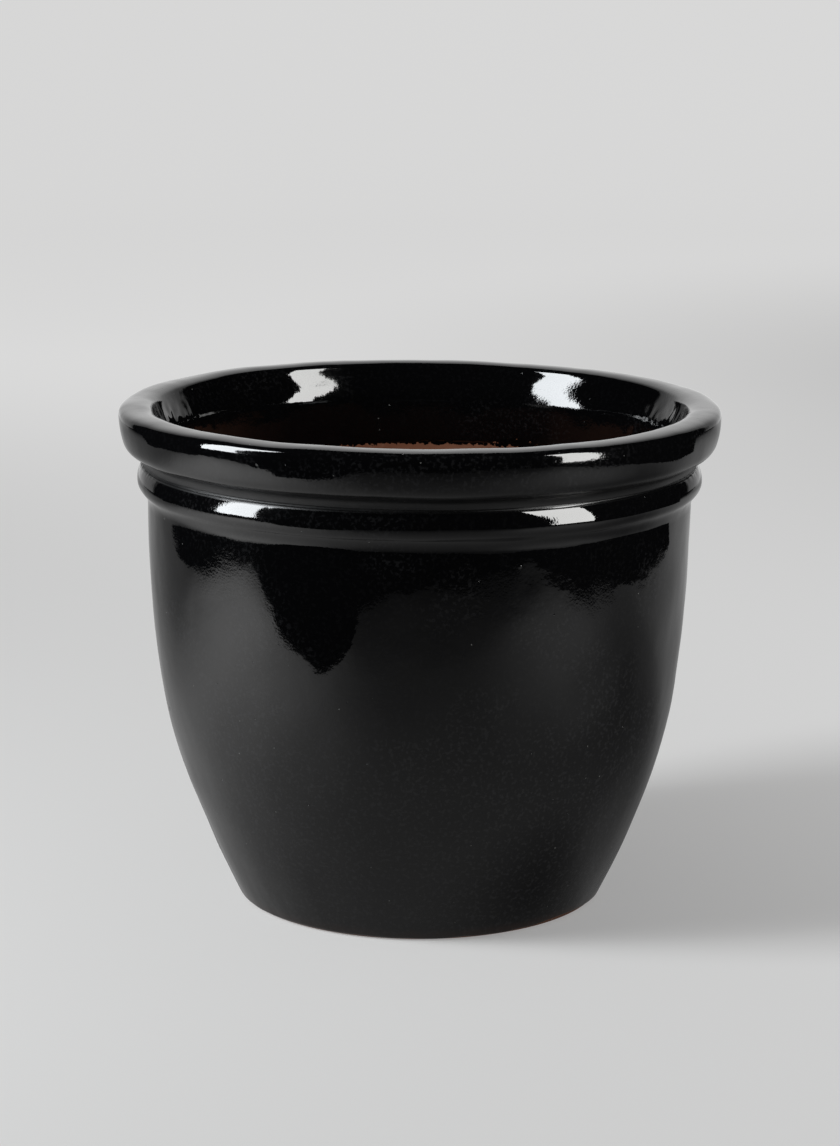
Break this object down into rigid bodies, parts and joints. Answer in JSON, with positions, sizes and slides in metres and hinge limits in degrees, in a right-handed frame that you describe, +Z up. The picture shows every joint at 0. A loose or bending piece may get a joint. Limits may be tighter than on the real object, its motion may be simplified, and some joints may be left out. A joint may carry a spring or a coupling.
{
  "type": "glazed terracotta planter pot",
  "caption": "Round black-glazed terracotta plant pot with a heavy rolled rim, a bead below it, a bowl-shaped body on a narrow foot and a drain hole.",
  "frame": {"origin": "centre of the foot, on the surface that the pot stands on", "axes": "+Z up along the pot's axis of revolution; X and Y level"},
  "size_m": [0.305, 0.305, 0.255],
  "materials": {
    "terracotta": "bare fired clay, matt and slightly gritty",
    "black_glaze": "black gloss glaze, slightly uneven"
  },
  "bodies": {
    "root": {"base_slab": "terracotta", "body_wall": "terracotta", "bead_coil": "terracotta", "seam_slip": "terracotta", "rim_coil": "terracotta", "glaze_coat": "black_glaze"}
  },
  "joints": []
}
